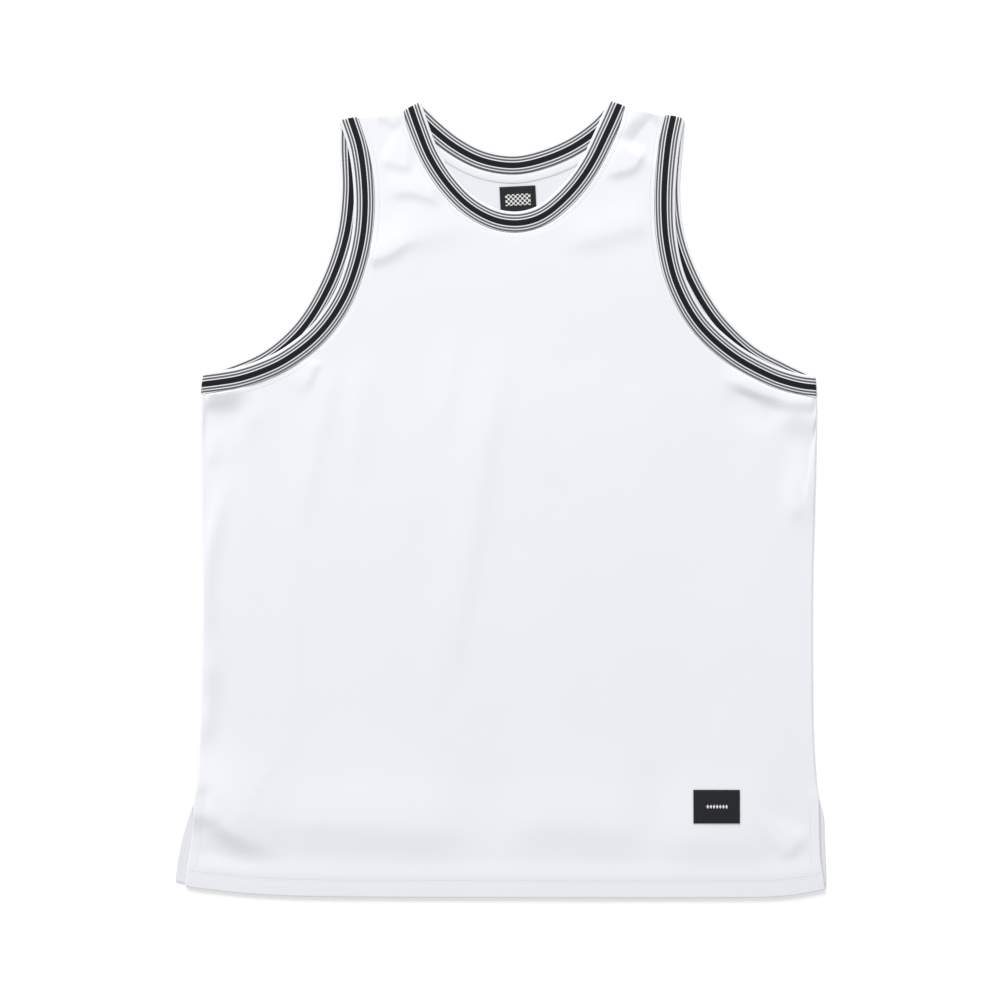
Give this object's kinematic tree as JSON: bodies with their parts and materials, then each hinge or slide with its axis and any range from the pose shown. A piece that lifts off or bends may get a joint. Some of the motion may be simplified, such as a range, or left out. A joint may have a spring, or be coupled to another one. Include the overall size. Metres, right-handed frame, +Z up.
{
  "type": "basketball jersey",
  "caption": "Sleeveless basketball jersey laid flat with its front up, in mesh knit with striped rib bands at the neck and armholes, woven labels and side vents.",
  "frame": {"origin": "middle of the outline, on the surface that the jersey lies on", "axes": "+Z up out of the front, +Y towards the shoulders, +X to the right as seen from above, which is the wearer's left"},
  "size_m": [0.6258, 0.7654, 0.0076],
  "materials": {
    "mesh_knit": "white polyester mesh knit, matt with a faint sheen",
    "striped_rib": "rib knit with stripes in white, grey and near black",
    "white_tape": "white twill tape",
    "woven_label": "black woven satin"
  },
  "bodies": {
    "root": {"front_panel": "mesh_knit", "back_panel": "mesh_knit", "neck_band": "striped_rib", "armhole_band_left": "striped_rib", "armhole_band_right": "striped_rib", "back_neck_tape": "white_tape", "neck_label": "woven_label", "hem_label": "woven_label"}
  },
  "joints": []
}
